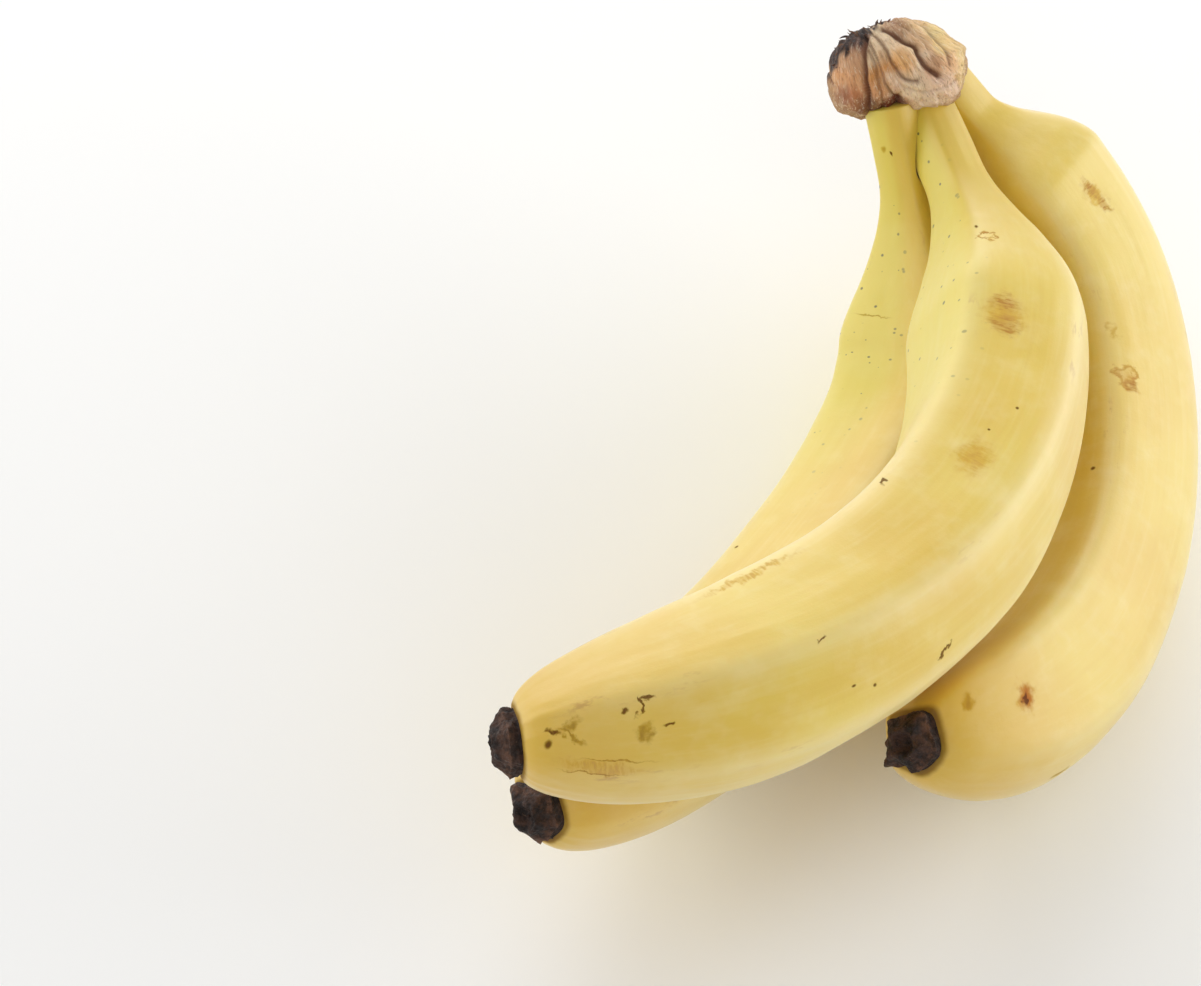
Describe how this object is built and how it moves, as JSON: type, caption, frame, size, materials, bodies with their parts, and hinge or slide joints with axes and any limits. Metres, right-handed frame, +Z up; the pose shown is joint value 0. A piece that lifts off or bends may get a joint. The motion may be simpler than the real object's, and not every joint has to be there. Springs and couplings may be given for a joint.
{
  "type": "bunch of bananas",
  "caption": "Small bunch of ripe bananas joined at a cut crown, lying on the curved backs of its outer fingers, with dried blossom ends.",
  "frame": {"origin": "on the surface that the bunch rests on, under the middle of its box", "axes": "+Z up from the resting surface, +Y towards the crown, +X towards the back of the right finger"},
  "size_m": [0.1334, 0.1876, 0.0796],
  "materials": {
    "banana_skin": "smooth waxy skin, satin, yellow with small brown marks",
    "crown_tissue": "dried folded plant fibre, matte",
    "blossom_tissue": "dried black crumbly plant tissue, matte"
  },
  "bodies": {
    "root": {"crown": "crown_tissue", "banana_left": "banana_skin", "banana_middle": "banana_skin", "banana_right": "banana_skin", "blossom_end_left": "blossom_tissue", "blossom_end_middle": "blossom_tissue", "blossom_end_right": "blossom_tissue"}
  },
  "joints": []
}
